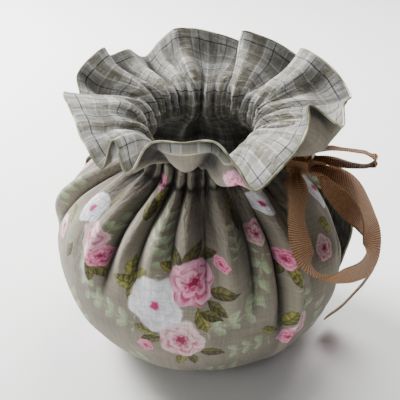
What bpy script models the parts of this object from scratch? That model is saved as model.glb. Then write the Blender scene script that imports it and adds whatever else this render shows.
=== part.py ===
"""A tea cosy: two printed panels over two checked lining panels, gathered into a channel at the neck
with a ribbon tied in a bow on the handle's side, and opening above it into a deep frill.

The cosy stands on its hem. The origin is on the table under the middle of the body, +X is the handle's
side, -X the spout's side and -Y the front. Lengths are in millimetres and angles in degrees.
"""

import bmesh
import bpy
import numpy as np
from mathutils import Matrix

MM = 0.001

# The cloth
CLOTH = 1.2          # each layer, felled and lightly padded
LAYER_GAP = 0.3      # between a panel and its lining
SEAM_GAP = 0.5       # between the front and back panels at the side seams

# Lengths up along the cloth
HEM = 7.0            # the hem's ring, which lies flat on the table
FRILL = 45.0         # from the ribbon's channel to the rim

# The body, from the outer edge of the hem's ring to the top of the ribbon's channel
PROFILE = (
    # radius, height
    (46.0, 1.35),
    (54.5, 6.5),
    (65.0, 16.0),
    (75.5, 33.0),
    (80.3, 52.0),
    (80.3, 72.0),
    (73.0, 90.0),
    (60.0, 104.0),
    (46.0, 114.0),
    (36.5, 120.0),
    (33.0, 125.0),
    (32.5, 132.0),
)
NECK_HEIGHT = 120.0

# At the front the ribbon has pulled the neck down and forward
NECK_FRONT = 273.0
NECK_DROP = 9.0
NECK_FORWARD = 3.0

# The frill's rim, once round from the handle's seam; the panels meet at the two seams
RIM = (
    # place,               angle, radius, height, rise from channel, rise at rim
    ("handle seam",            1,   73.0,  151.5,   40,   72),
    ("right lobe corner",     15,   77.0,  147.0,   58,   35),
    ("right lobe side",       27,   72.0,  154.5,   75,   45),
    ("right lobe top",        38,   65.5,  160.0,   80,   60),
    ("right lobe end",        51,   66.5,  158.0,   85,   60),
    ("corner lobe start",     50,   75.0,  148.0,   65,   45),
    ("corner lobe",           69,   68.0,  157.0,   80,   55),
    ("corner lobe tip",       83,   62.5,  161.5,   88,   60),
    ("corner lobe fold",      80,   74.0,  149.0,   62,   50),
    ("back lobe right",       94,   69.0,  155.5,   80,   55),
    ("back lobe top",        112,   62.0,  162.0,   80,   65),
    ("back lobe left",       121,   61.5,  162.5,   80,   60),
    ("back lobe fall",       127,   72.0,  151.5,   75,   45),
    ("back notch",           132,   78.0,  142.0,   70,   20),
    ("small lobe",           143,   71.5,  151.0,   80,   50),
    ("small notch",          152,   73.5,  149.5,   75,   45),
    ("left lobe tip",        164,   65.0,  159.5,   80,   60),
    ("left lobe side",       172,   76.0,  145.5,   75,   25),
    ("spout seam",           181,   69.0,  140.0,   70,   20),
    ("side lobe corner",     202,   71.0,  151.5,   80,   20),
    ("side lobe edge",       223,   70.5,  149.5,   75,   10),
    ("side lobe foot",       239,   75.5,  144.5,   60,    0),
    ("side lobe tuck",       251,   78.5,  138.0,   50,  -10),
    ("left point fold",      251,   70.5,  148.0,   55,    0),
    ("left point",           261,   79.0,  138.5,   30,   10),
    ("stand left",           268,   72.0,  151.0,   20,   60),
    ("stand middle",         279,   70.5,  152.5,   15,   70),
    ("stand right",          291,   70.0,  153.5,    5,   75),
    ("right point fold",     297,   76.0,  145.0,    5,   50),
    ("right point",          303,   80.0,  132.0,   20,    0),
    ("right point side",     314,   78.0,  141.0,   60,  -10),
    ("right point end",      323,   75.5,  147.0,   60,   10),
    ("cup rise",             331,   69.5,  155.0,   55,   45),
    ("cup notch",            335,   65.0,  159.5,   35,   85),
    ("cup",                  347,   72.0,  154.5,   12,  104),
)
SPOUT_SEAM = [row[0] for row in RIM].index("spout seam")
HANDLE_SEAM = len(RIM)

# Folds that run down the body from the gathers; a crease has a negative rise
FOLDS = (
    # fold,                   angle at neck, at foot, foot height, rise, half width
    ("spout edge roll",                 213,     192,    60.0,      6.0,    5.0),
    ("spout edge crease",               221,     201,    60.0,     -6.0,    4.4),
    ("shoulder swell",                  229,     226,    66.0,      2.5,    9.0),
    ("left ridge",                      242,     241,    58.0,      5.5,    5.0),
    ("left deep crease",                249,     248,    58.0,     -7.5,    4.2),
    ("small ridge",                     256,     255,    66.0,      4.5,    4.0),
    ("small crease",                    261,     261,    72.0,     -5.5,    3.8),
    ("middle ridge",                    267,     268,    64.0,      4.0,    4.5),
    ("middle crease",                   273,     275,    76.0,     -4.5,    3.8),
    ("middle swell",                    279,     281,    70.0,      3.5,    5.0),
    ("middle hollow",                   287,     288,    60.0,     -6.0,    6.5),
    ("right ridge",                     298,     296,    54.0,      5.5,    4.2),
    ("right hollow",                    307,     304,    52.0,     -5.5,    6.0),
    ("narrow fold crease",              315,     314,    40.0,     -6.0,    4.0),
    ("narrow fold",                     321,     319,    12.0,      7.5,    3.8),
    ("handle hollow",                   331,     331,    50.0,     -4.5,    6.0),
    ("handle swell",                    343,     344,    50.0,      2.5,    7.0),
    ("back edge roll",                    7,      10,    40.0,      5.0,    8.0),
    ("back edge crease",                 20,      24,    62.0,     -4.5,    6.0),
    ("back right ridge",                 33,      35,    50.0,      4.0,    7.0),
    ("back right hollow",                46,      48,    58.0,     -5.0,    8.0),
    ("back small ridge",                 58,      60,    70.0,      3.5,    5.0),
    ("back crease",                      68,      70,    60.0,     -5.5,    6.0),
    ("back middle ridge",                80,      82,    44.0,      5.0,    7.0),
    ("back middle hollow",               95,      94,    62.0,     -4.5,    8.0),
    ("back left ridge",                 108,     106,    56.0,      3.5,    6.0),
    ("back deep crease",                118,     116,    58.0,     -6.0,    6.0),
    ("back long ridge",                 130,     128,    38.0,      5.0,    6.5),
    ("back left hollow",                143,     141,    60.0,     -4.0,    8.0),
    ("back shoulder ridge",             156,     153,    56.0,      3.5,    6.5),
    ("spout back crease",               167,     164,    60.0,     -4.0,    6.0),
    ("spout back roll",                 175,     170,    48.0,      3.5,    7.0),
)
GATHER = 0.12        # depth of a small gather at the channel, for each millimetre of rim in it

# The side slits for the spout and the handle, each half as wide as the angle given
FRILL_FOLDS = (
    # fold,              place at channel, at rim, rise, half width in places at channel, at rim
    ("left stand hollow",            25.35,  24.75, -6.2,  0.50,  0.42),
    ("stand flap",                   26.15,  25.85,  4.3,  0.58,  0.80),
    ("right stand hollow",           27.00,  26.95, -7.5,  0.50,  0.48),
    ("right point swell",            27.95,  28.10,  3.0,  0.60,  0.60),
    ("right lobe pleat",              2.3,    2.0,   3.5,  0.60,  0.70),
    ("corner pleat",                  5.8,    5.6,   4.0,  0.50,  0.50),
    ("back lobe hollow",              9.7,    9.6,   3.5,  0.60,  0.80),
    ("back lobe tuck",               11.5,   11.3,   5.0,  0.45,  0.50),
    ("back notch crease",            13.4,   12.9,   5.0,  0.50,  0.40),
    ("small lobe pocket",            14.9,   15.2,   5.0,  0.55,  0.50),
    ("left lobe pocket",             17.2,   17.2,   5.0,  0.55,  0.55),
    ("side lobe pleat",              20.4,   20.6,   3.5,  0.60,  0.60),
    ("cup swell",                    33.4,   33.4,   8.0,  0.50,  0.55),
)

# The cup's corner is turned out and down: where, half width in places, out, down, turn at channel and rim
LIP = (34.0, 0.55, 5.5, 9.0, 18.0, 50.0)

SLITS = (
    # seam angle, half angle, foot height, top height
    (0.0, 8.0, 22.0, 106.0),
    (180.0, 9.0, 26.0, 108.0),
)
SLIT_REACH = 60.0    # how far round the cloth is pushed aside, in degrees

# The ribbon
RIBBON_WIDTH = 15.0
RIBBON_THICKNESS = 1.0
PINCH = 0.36         # share of its width that the ribbon keeps in the knot
PINCH_LENGTH = 15.0  # over which it opens out again
KNOT_CENTRE = (54.3, -8.5, 118.8)
KNOT_SIZE = (13.5, 12.0, 9.4)

# Each row: a point of the ribbon's middle line, and the way its width runs there
LONG_LOOP = (
    # x, y, z, width x, y, z
    (53.8, -15.7, 117.5, 1.00, 0.10, 0.10),
    (54.9, -19.8, 116.9, 0.95, 0.35, 0.05),
    (56.3, -25.5, 115.0, 0.78, 0.55, -0.30),
    (57.4, -33.0, 111.6, 0.55, 0.50, -0.65),
    (59.0, -40.5, 107.2, 0.49, 0.52, -0.71),
    (61.2, -46.5, 102.5, 0.54, 0.68, -0.50),
    (63.6, -50.8, 97.5, 0.54, 0.78, -0.30),
    (66.6, -53.4, 92.2, 0.36, 0.92, -0.08),
    (70.4, -54.2, 86.8, -0.15, 0.97, -0.13),
    (75.6, -51.5, 82.2, -0.40, 0.75, -0.52),
    (82.0, -46.5, 79.0, -0.32, 0.40, -0.86),
    (88.3, -39.5, 76.6, -0.25, 0.25, -0.94),
    (93.4, -30.5, 74.6, 0.00, 0.20, -0.97),
    (96.6, -21.5, 74.4, 0.30, 0.22, -0.92),
    (96.9, -14.5, 77.6, 0.57, 0.60, -0.57),
    (95.8, -11.0, 84.0, 0.54, 0.82, -0.17),
    (93.5, -9.6, 92.0, 0.28, 0.95, 0.00),
    (90.2, -9.6, 100.3, 0.15, 0.98, 0.05),
    (85.8, -10.0, 107.8, 0.12, 0.98, 0.10),
    (79.8, -11.2, 113.8, 0.10, 0.98, 0.10),
    (72.8, -12.2, 117.2, 0.05, 0.99, 0.05),
    (66.2, -12.4, 118.0, 0.00, 1.00, 0.00),
    (61.6, -11.8, 116.3, 0.05, 1.00, 0.05),
)
SHORT_LOOP = (
    (57.0, -8.5, 124.4, 0.00, 1.00, 0.00),
    (61.0, -9.3, 127.2, 0.00, 0.98, -0.15),
    (67.5, -10.5, 129.5, -0.05, 0.95, -0.25),
    (75.0, -11.0, 130.3, -0.05, 0.92, -0.35),
    (82.0, -10.7, 130.2, -0.05, 0.92, -0.35),
    (88.0, -10.2, 129.4, -0.05, 0.92, -0.35),
    (92.0, -10.0, 126.4, -0.05, 0.92, -0.35),
    (89.0, -10.0, 123.6, -0.05, 0.92, -0.35),
    (83.0, -10.4, 122.9, -0.05, 0.95, -0.30),
    (76.0, -10.6, 123.2, 0.00, 0.97, -0.20),
    (68.5, -9.6, 122.7, 0.00, 0.99, -0.10),
    (61.7, -8.9, 121.2, 0.00, 1.00, 0.00),
)
TAIL = (
    (61.6, -5.2, 116.6, 0.00, 1.00, 0.00),
    (64.4, -4.6, 114.2, 0.10, 0.98, 0.10),
    (68.5, -4.2, 110.3, 0.35, 0.85, 0.35),
    (73.5, -4.0, 105.0, 0.60, 0.62, 0.50),
    (81.5, -3.5, 95.5, 0.66, 0.55, 0.50),
    (89.0, -2.0, 86.8, 0.40, 0.86, 0.15),
    (93.6, 0.5, 76.5, 0.10, 0.92, -0.38),
    (96.6, 4.0, 65.0, 0.00, 0.86, -0.50),
    (97.6, 6.5, 54.0, -0.03, 0.84, -0.54),
    (95.0, 7.6, 43.0, -0.05, 0.83, -0.55),
    (89.4, 8.0, 31.2, -0.06, 0.82, -0.56),
    (82.4, 8.0, 19.4, -0.07, 0.82, -0.57),
    (76.0, 7.8, 11.5, -0.08, 0.81, -0.58),
)
LEAD = (
    (39.1, -6.6, 122.0, 0.00, 0.97, 0.20),
    (41.6, -7.3, 121.2, 0.00, 1.00, 0.15),
    (44.2, -7.8, 120.2, 0.00, 1.00, 0.05),
    (46.8, -8.0, 119.4, 0.00, 1.00, 0.00),
)

# How finely the panels are cut up
COLUMNS_PER_PLACE = 2
BODY_HEIGHTS = (0.0, 6.0, 17.0, 40.0, 66.0, 92.0, 114.0, 132.0, 147.0, 160.0)
FRILL_STEPS = 4

COLOURS = {
    "print": (0.36, 0.34, 0.30, 1.0),
    "check": (0.42, 0.41, 0.38, 1.0),
    "ribbon": (0.36, 0.22, 0.13, 1.0),
}


def smooth_curve(knots, values, wanted, period=None):
    """Values on a smooth curve through rows of values at knots; it closes where a period is given."""
    if period:
        knots = np.concatenate([knots - period, knots, knots + period])
        values = np.concatenate([values] * 3)
    steps = np.diff(knots)[:, None]
    slopes = np.diff(values, axis=0) / steps
    tangents = np.empty_like(values)
    tangents[0] = slopes[0]
    tangents[-1] = slopes[-1]
    weighted = slopes[:-1] * steps[1:] + slopes[1:] * steps[:-1]
    tangents[1:-1] = weighted / (steps[1:] + steps[:-1])
    i = np.clip(np.searchsorted(knots, wanted, side="right") - 1, 0, len(knots) - 2)
    step = steps[i]
    t = (wanted[:, None] - knots[i][:, None]) / step
    start = (2 * t**3 - 3 * t**2 + 1) * values[i] + (t**3 - 2 * t**2 + t) * step * tangents[i]
    end = (3 * t**2 - 2 * t**3) * values[i + 1] + (t**3 - t**2) * step * tangents[i + 1]
    return start + end


def distances(points, closed=False):
    """How far along a line of points each one lies, with the whole way round last if it closes."""
    if closed:
        points = np.vstack([points, points[:1]])
    return np.concatenate([[0.0], np.cumsum(np.linalg.norm(np.diff(points, axis=0), axis=1))])


def fade(value, low, high):
    """0 below low, 1 above high and a soft step between."""
    t = np.clip((value - low) / (high - low), 0.0, 1.0)
    return t * t * (3 - 2 * t)


def angle_apart(angle, other):
    return (angle - other + 180.0) % 360.0 - 180.0


PROFILE_LINE = np.array(PROFILE)
PROFILE_ALONG = HEM + distances(PROFILE_LINE)
BODY_LENGTH = PROFILE_ALONG[-1]
RIM_ROWS = np.array([row[1:] for row in RIM])
RIM_ANGLES = np.radians(RIM_ROWS[:, 0])
RIM_POINTS = np.column_stack([
    RIM_ROWS[:, 1] * np.cos(RIM_ANGLES),
    RIM_ROWS[:, 1] * np.sin(RIM_ANGLES),
    RIM_ROWS[:, 2],
])
RIM_ALONG = distances(RIM_POINTS, closed=True)
RIM_STEPS = np.diff(RIM_ALONG)
RIM_LENGTH = RIM_ALONG[-1]


def cloth_along(place):
    """How far round the cloth, in millimetres, a place in the rim's table is."""
    return np.interp(place, np.arange(len(RIM_ALONG)), RIM_ALONG)


def body_angle(place, height):
    """The angle round the body, with the cloth pushed aside at the slits."""
    even = 360.0 * cloth_along(place) / RIM_LENGTH
    spout_at = 360.0 * RIM_ALONG[SPOUT_SEAM] / RIM_LENGTH
    even = even + (180.0 - spout_at) * np.sin(np.radians(even / 2)) ** 2
    angle = even.copy()
    for seam, half, foot, top in SLITS:
        apart = angle_apart(even, seam)
        near = np.clip(1 - np.abs(apart) / SLIT_REACH, 0.0, 1.0) ** 2
        open_here = fade(height, foot, foot + 18.0) * (1 - fade(height, top - 22.0, top))
        angle = angle + np.sign(apart) * half * near * open_here
    return angle


def body_point(place, along):
    """A point of the body, the hem or the ribbon channel."""
    line = smooth_curve(PROFILE_ALONG, PROFILE_LINE, np.maximum(along, HEM))
    radius = line[:, 0] - np.maximum(HEM - along, 0.0)
    height = line[:, 1]
    angle = body_angle(place, height)
    for _, neck_angle, foot_angle, foot, rise, half in FOLDS:
        up = np.clip((height - foot) / (NECK_HEIGHT - foot), 0.0, 1.0)
        across = angle_apart(angle, foot_angle + (neck_angle - foot_angle) * up)
        wide = half * (0.3 + 0.7 * radius / 80.0)
        bump = np.exp(-((np.radians(across) * radius / wide) ** 2))
        strength = fade(up, 0.0, 0.55) * (1 - 0.75 * fade(height, 108.0, 124.0))
        radius = radius + rise * bump * strength
    depth = GATHER * RIM_STEPS[np.floor(place).astype(int) % len(RIM)] * fade(height, 92.0, 116.0)
    radius = radius - depth * (0.5 - 0.5 * np.cos(2 * np.pi * place))
    front = np.maximum(np.cos(np.radians(angle - NECK_FRONT)), 0.0) ** 1.5 * fade(height, 84.0, 118.0)
    radius = radius + NECK_FORWARD * front
    turn = np.radians(angle)
    return np.column_stack([radius * np.cos(turn), radius * np.sin(turn), height - NECK_DROP * front])


def frill_point(place, along):
    """A point of the frill: each strip leaves the channel and bends over to its place on the rim."""
    rim = smooth_curve(RIM_ALONG[:-1], np.column_stack([RIM_POINTS, RIM_ROWS[:, 3:]]),
                       cloth_along(place % len(RIM)), period=RIM_LENGTH)
    start = body_point(place, np.full_like(place, BODY_LENGTH))
    up = np.array([0.0, 0.0, 1.0])
    out_start = start * (1, 1, 0)
    out_start = out_start / np.linalg.norm(out_start, axis=1, keepdims=True)
    out_end = rim[:, :3] * (1, 1, 0)
    out_end = out_end / np.linalg.norm(out_end, axis=1, keepdims=True)
    lip_place, lip_half, lip_out, lip_down, turn_start, turn_end = LIP
    from_lip = (place - lip_place + len(RIM) / 2) % len(RIM) - len(RIM) / 2
    lip = np.exp(-((from_lip / lip_half) ** 2))[:, None]
    end = rim[:, :3] + lip * (lip_out * out_end - lip_down * up)
    rise_start = np.radians(rim[:, 3:4] - turn_start * lip)
    rise_end = np.radians(rim[:, 4:5] - turn_end * lip)
    reach = np.linalg.norm(end - start, axis=1, keepdims=True)
    bend = 0.42 * reach
    first = start + bend * (out_start * np.cos(rise_start) + up * np.sin(rise_start))
    second = end - bend * (out_end * np.cos(rise_end) + up * np.sin(rise_end))
    t = ((along - BODY_LENGTH) / FRILL)[:, None]
    point = ((1 - t) ** 3 * start + 3 * (1 - t) ** 2 * t * first
             + 3 * (1 - t) * t**2 * second + t**3 * end)
    tangent = (1 - t) ** 2 * (first - start) + 2 * (1 - t) * t * (second - first) + t**2 * (end - second)
    outward = np.cross(np.cross(up, out_start * (1 - t) + out_end * t), tangent)
    outward = outward / np.linalg.norm(outward, axis=1, keepdims=True)
    rise = np.zeros(len(place))
    t = t[:, 0]
    for _, channel_place, rim_place, height, channel_half, rim_half in FRILL_FOLDS:
        across = place % len(RIM) - (channel_place + (rim_place - channel_place) * t)
        bump = np.exp(-((across / (channel_half + (rim_half - channel_half) * t)) ** 2))
        rise = rise + height * bump * fade(t, 0.0, 0.35) * (1 - fade(t, 0.72, 0.97))
    return point + outward * rise[:, None]


def cloth_point(place, along):
    """The middle of the cloth, between panel and lining, in millimetres."""
    place = np.asarray(place, dtype=float)
    along = np.asarray(along, dtype=float)
    in_frill = (along > BODY_LENGTH)[:, None]
    body = body_point(place, np.minimum(along, BODY_LENGTH))
    frill = frill_point(place, np.maximum(along, BODY_LENGTH))
    return np.where(in_frill, frill, body)


def cloth_normal(place, along):
    """The way the cloth's outer face looks."""
    small = 0.02
    side = cloth_point(place + small, along) - cloth_point(place - small, along)
    rise = cloth_point(place, along + small) - cloth_point(place, along - small)
    normal = np.cross(side, rise)
    return normal / np.linalg.norm(normal, axis=1, keepdims=True)


def add_object(name, mesh, colour, roughness):
    material = bpy.data.materials.new(name)
    material.use_nodes = True
    shader = material.node_tree.nodes["Principled BSDF"]
    shader.inputs["Base Color"].default_value = COLOURS[colour]
    shader.inputs["Roughness"].default_value = roughness
    shader.inputs["Metallic"].default_value = 0.0
    mesh.materials.append(material)
    thing = bpy.data.objects.new(name, mesh)
    bpy.context.collection.objects.link(thing)
    return thing


def thick_sheet(name, columns, rows, place_points):
    """A closed sheet: a grid and its copy a thickness away, with walls between along the edges.

    place_points gets each corner's column, row and layer, 0 on the near face and 1 on the far one.
    """
    bm = bmesh.new()
    bmesh.ops.create_grid(bm, x_segments=columns, y_segments=rows, size=0.5)
    bmesh.ops.triangulate(bm, faces=bm.faces[:], quad_method="FIXED")
    copy = bmesh.ops.extrude_face_region(bm, geom=bm.faces[:], use_keep_orig=True)
    for vert in copy["geom"]:
        if isinstance(vert, bmesh.types.BMVert):
            vert.co.z = 1.0
    bmesh.ops.triangulate(bm, faces=bm.faces[:], quad_method="FIXED")
    mesh = bpy.data.meshes.new(name)
    bm.to_mesh(mesh)
    bm.free()
    flat = np.empty(len(mesh.vertices) * 3)
    mesh.vertices.foreach_get("co", flat)
    flat = flat.reshape(-1, 3)
    column = np.round((flat[:, 0] + 0.5) * columns).astype(int)
    row = np.round((flat[:, 1] + 0.5) * rows).astype(int)
    points = place_points(column, row, flat[:, 2])
    mesh.vertices.foreach_set("co", (points * MM).ravel())
    mesh.update()
    bm = bmesh.new()
    bm.from_mesh(mesh)
    bmesh.ops.recalc_face_normals(bm, faces=bm.faces[:])
    bm.to_mesh(mesh)
    bm.free()
    return mesh


def panel(name, first_place, last_place, near, far, colour):
    """A panel of cloth between two places on the rim, near and far being depths from the middle."""
    columns = (last_place - first_place) * COLUMNS_PER_PLACE
    seam_places = first_place + np.arange(columns + 1) / COLUMNS_PER_PLACE
    places = seam_places.copy()
    edge = SEAM_GAP * len(RIM) / RIM_LENGTH
    places[0] += edge
    places[-1] -= edge
    frill_heights = BODY_LENGTH + FRILL * np.arange(FRILL_STEPS + 1) / FRILL_STEPS
    heights = np.concatenate([BODY_HEIGHTS, frill_heights])

    def place_points(column, row, layer):
        depth = np.where(layer > 0.5, far, near)[:, None]
        along = heights[row]
        return cloth_point(places[column], along) + cloth_normal(seam_places[column], along) * depth

    mesh = thick_sheet(name, columns, len(heights) - 1, place_points)
    return add_object(name, mesh, colour, 0.9)


def ribbon(name, route, steps):
    """A stretch of ribbon along a smooth route, narrowed where it goes into the knot."""
    route = np.array(route)
    along = distances(route[:, :3])
    wanted = along[-1] * np.arange(steps + 1) / steps
    line = smooth_curve(along, route, wanted)
    tangent = np.gradient(line[:, :3], axis=0)
    tangent /= np.linalg.norm(tangent, axis=1, keepdims=True)
    face = np.cross(tangent, line[:, 3:])
    face /= np.linalg.norm(face, axis=1, keepdims=True)
    across = np.cross(face, tangent)
    share = PINCH + (1 - PINCH) * fade(wanted, 0.0, PINCH_LENGTH)
    if name != "ribbon_tail":
        share = np.minimum(share, PINCH + (1 - PINCH) * fade(along[-1] - wanted, 0.0, PINCH_LENGTH))

    def place_points(column, row, layer):
        sideways = (row - 0.5) * RIBBON_WIDTH * share[column]
        depth = (layer - 0.5) * RIBBON_THICKNESS
        return line[column, :3] + across[column] * sideways[:, None] + face[column] * depth[:, None]

    mesh = thick_sheet(name, steps, 1, place_points)
    return add_object(name, mesh, "ribbon", 0.7)


def knot(name):
    """The bow's knot, a soft rounded lump with the ribbon's turn round its waist."""
    bm = bmesh.new()
    bmesh.ops.create_cube(bm, size=1.0)
    bmesh.ops.scale(bm, vec=KNOT_SIZE, verts=bm.verts[:])
    bmesh.ops.bevel(bm, geom=bm.edges[:], offset=2.5, segments=2, profile=0.5, affect="EDGES",
                    clamp_overlap=True, material=-1)
    bmesh.ops.translate(bm, vec=KNOT_CENTRE, verts=bm.verts[:])
    bmesh.ops.transform(bm, matrix=Matrix.Scale(MM, 4), verts=bm.verts[:])
    bmesh.ops.triangulate(bm, faces=bm.faces[:])
    mesh = bpy.data.meshes.new(name)
    bm.to_mesh(mesh)
    bm.free()
    return add_object(name, mesh, "ribbon", 0.7)


def main():
    for thing in list(bpy.data.objects):
        bpy.data.objects.remove(thing, do_unlink=True)

    middle = LAYER_GAP / 2
    back = (0, SPOUT_SEAM)
    front = (SPOUT_SEAM, HANDLE_SEAM)
    panel("outer_front", *front, middle, middle + CLOTH, "print")
    panel("outer_back", *back, middle, middle + CLOTH, "print")
    panel("lining_front", *front, -middle, -middle - CLOTH, "check")
    panel("lining_back", *back, -middle, -middle - CLOTH, "check")

    knot("ribbon_knot")
    ribbon("ribbon_lead", LEAD, 4)
    ribbon("ribbon_long_loop", LONG_LOOP, 32)
    ribbon("ribbon_short_loop", SHORT_LOOP, 26)
    ribbon("ribbon_tail", TAIL, 20)


main()
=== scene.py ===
"""Dresses the tea cosy: printed panels over a checked lining, drawn in at the neck by a grosgrain ribbon.

+X is the handle's side, -X the spout's side and -Y the front. Lengths in the tables are millimetres and
angles are degrees, with 0 at the handle's side, counted anticlockwise from above.
"""

import math
from functools import partial

import bmesh
import bpy
import numpy as np
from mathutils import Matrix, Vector


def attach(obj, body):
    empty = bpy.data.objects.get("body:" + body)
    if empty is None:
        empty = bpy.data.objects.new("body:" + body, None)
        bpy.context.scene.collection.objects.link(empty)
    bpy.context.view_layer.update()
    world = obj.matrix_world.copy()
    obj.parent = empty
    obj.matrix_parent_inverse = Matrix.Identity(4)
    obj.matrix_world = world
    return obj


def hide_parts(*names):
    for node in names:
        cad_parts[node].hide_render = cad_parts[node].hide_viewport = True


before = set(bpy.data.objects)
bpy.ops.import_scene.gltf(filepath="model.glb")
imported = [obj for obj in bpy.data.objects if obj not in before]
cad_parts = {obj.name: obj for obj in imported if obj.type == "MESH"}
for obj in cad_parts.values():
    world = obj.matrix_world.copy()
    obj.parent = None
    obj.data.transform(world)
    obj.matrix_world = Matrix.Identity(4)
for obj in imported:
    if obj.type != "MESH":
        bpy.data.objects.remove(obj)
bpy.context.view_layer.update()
MM = 0.001

# ---- sizes

HEM = 7.0  # a ring of cloth turned in under the body
FRILL = 45.0  # from the channel's top to the rim
CHANNEL = 13.0  # the height of the ribbon's channel, below the frill
LAYER_NEAR = 0.12  # each layer's near face, from the middle between panel and lining
LAYER_FAR = 1.00  # and its far face
EDGE_FAR = 0.50  # the far face where the two layers are sewn together along an edge
EDGE_ROLL = 0.62  # radius of the rolled edge

PROFILE = (
    # radius, height
    (46.0, 1.35),
    (54.5, 6.5),
    (65.0, 16.0),
    (75.5, 33.0),
    (80.3, 52.0),
    (80.3, 72.0),
    (73.0, 90.0),
    (60.0, 104.0),
    (46.0, 114.0),
    (36.5, 120.0),
    (33.0, 125.0),
    (32.5, 132.0),
)
NECK_HEIGHT = 120.0
BELLY = 80.0  # the radius for which the folds' widths are given

# At the front the ribbon has pulled the neck down and forward
NECK_FRONT = 273.0  # angle
NECK_DROP = 9.0
NECK_FORWARD = 3.0
NECK_PULLED = (84.0, 118.0)  # heights between which the pull sets in

RIM = (
    # place, angle, radius, height, rise from channel, rise at rim
    ("handle seam",         1, 73.0, 151.5, 40,  72),
    ("right lobe corner",  15, 77.0, 147.0, 58,  35),
    ("right lobe side",    27, 72.0, 154.5, 75,  45),
    ("right lobe top",     38, 65.5, 160.0, 80,  60),
    ("right lobe end",     51, 66.5, 158.0, 85,  60),
    ("corner lobe start",  50, 75.0, 148.0, 65,  45),
    ("corner lobe",        69, 68.0, 157.0, 80,  55),
    ("corner lobe tip",    83, 62.5, 161.5, 88,  60),
    ("corner lobe fold",   80, 74.0, 149.0, 62,  50),
    ("back lobe right",    94, 69.0, 155.5, 80,  55),
    ("back lobe top",     112, 62.0, 162.0, 80,  65),
    ("back lobe left",    121, 61.5, 162.5, 80,  60),
    ("back lobe fall",    127, 72.0, 151.5, 75,  45),
    ("back notch",        132, 78.0, 142.0, 70,  20),
    ("small lobe",        143, 71.5, 151.0, 80,  50),
    ("small notch",       152, 73.5, 149.5, 75,  45),
    ("left lobe tip",     164, 65.0, 159.5, 80,  60),
    ("left lobe side",    172, 76.0, 145.5, 75,  25),
    ("spout seam",        181, 69.0, 140.0, 70,  20),
    ("side lobe corner",  202, 71.0, 151.5, 80,  20),
    ("side lobe edge",    223, 70.5, 149.5, 75,  10),
    ("side lobe foot",    239, 75.5, 144.5, 60,   0),
    ("side lobe tuck",    251, 78.5, 138.0, 50, -10),
    ("left point fold",   251, 70.5, 148.0, 55,   0),
    ("left point",        261, 79.0, 138.5, 30,  10),
    ("stand left",        268, 72.0, 151.0, 20,  60),
    ("stand middle",      279, 70.5, 152.5, 42,  70),
    ("stand right",       291, 70.0, 153.5,  5,  75),
    ("right point fold",  297, 76.0, 145.0,  5,  50),
    ("right point",       303, 80.0, 132.0, 20,   0),
    ("right point side",  314, 78.0, 141.0, 60, -10),
    ("right point end",   323, 75.5, 147.0, 60,  10),
    ("cup rise",          331, 69.5, 155.0, 55,  45),
    ("cup notch",         335, 65.0, 159.5, 35,  85),
    ("cup",               347, 72.0, 154.5, 12, 104),
)
SPOUT_SEAM = [row[0] for row in RIM].index("spout seam")
HANDLE_SEAM = len(RIM)

FOLDS = (
    # fold, angle at neck, at foot, foot height, rise, half width
    ("spout edge roll",     211, 191, 60.0,  6.0, 4.4),
    ("spout edge crease",   217, 199, 60.0, -8.0, 3.4),
    ("shoulder swell",      229, 226, 66.0,  2.5, 9.0),
    ("left ridge",          242, 241, 58.0,  5.5, 5.0),
    ("left deep crease",    249, 248, 58.0, -7.5, 4.2),
    ("small ridge",         256, 255, 66.0,  4.5, 4.0),
    ("small crease",        261, 261, 72.0, -5.5, 3.8),
    ("middle ridge",        267, 268, 64.0,  4.0, 4.5),
    ("middle crease",       273, 275, 76.0, -4.5, 3.8),
    ("middle swell",        279, 281, 70.0,  3.5, 5.0),
    ("middle hollow",       287, 288, 60.0, -6.0, 6.5),
    ("right ridge",         298, 296, 54.0,  5.5, 4.2),
    ("right hollow",        307, 304, 52.0, -5.5, 6.0),
    ("narrow fold crease",  316, 315, 40.0, -6.5, 2.9),
    ("narrow fold",         321, 319, 12.0,  7.5, 3.2),
    ("handle hollow",       331, 331, 50.0, -4.5, 6.0),
    ("handle swell",        343, 344, 50.0,  2.5, 7.0),
    ("back edge roll",        7,  10, 40.0,  5.0, 8.0),
    ("back edge crease",     20,  24, 62.0, -4.5, 6.0),
    ("back right ridge",     33,  35, 50.0,  4.0, 7.0),
    ("back right hollow",    46,  48, 58.0, -5.0, 8.0),
    ("back small ridge",     58,  60, 70.0,  3.5, 5.0),
    ("back crease",          68,  70, 60.0, -5.5, 6.0),
    ("back middle ridge",    80,  82, 44.0,  5.0, 7.0),
    ("back middle hollow",   95,  94, 62.0, -4.5, 8.0),
    ("back left ridge",     108, 106, 56.0,  3.5, 6.0),
    ("back deep crease",    118, 116, 58.0, -6.0, 6.0),
    ("back long ridge",     130, 128, 38.0,  5.0, 6.5),
    ("back left hollow",    143, 141, 60.0, -4.0, 8.0),
    ("back shoulder ridge", 156, 153, 56.0,  3.5, 6.5),
    ("spout back crease",   167, 164, 60.0, -4.0, 6.0),
    ("spout back roll",     175, 170, 48.0,  3.5, 7.0),
)
RIDGE_EXPONENT = 2.0  # how sharp the section of a ridge is
CREASE_EXPONENT = 1.4  # and that of a crease
FOLD_NARROWED = 0.3  # share of its width that a fold would have at the axis
FOLD_SET_IN = 0.55  # share of its height over which a fold reaches its full rise
FOLD_FLATTENED = 0.75  # share of its rise that a fold loses at the channel
FLATTENED = (108.0, 124.0)  # heights between which it does

GATHER = 0.20  # depth of a small gather at the channel, for each millimetre of rim in it
GATHER_SPREAD = (0.72, 1.2)  # how far the gathers' depths differ
GATHER_FEET = (84.0, 103.0)  # heights between which they begin

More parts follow.
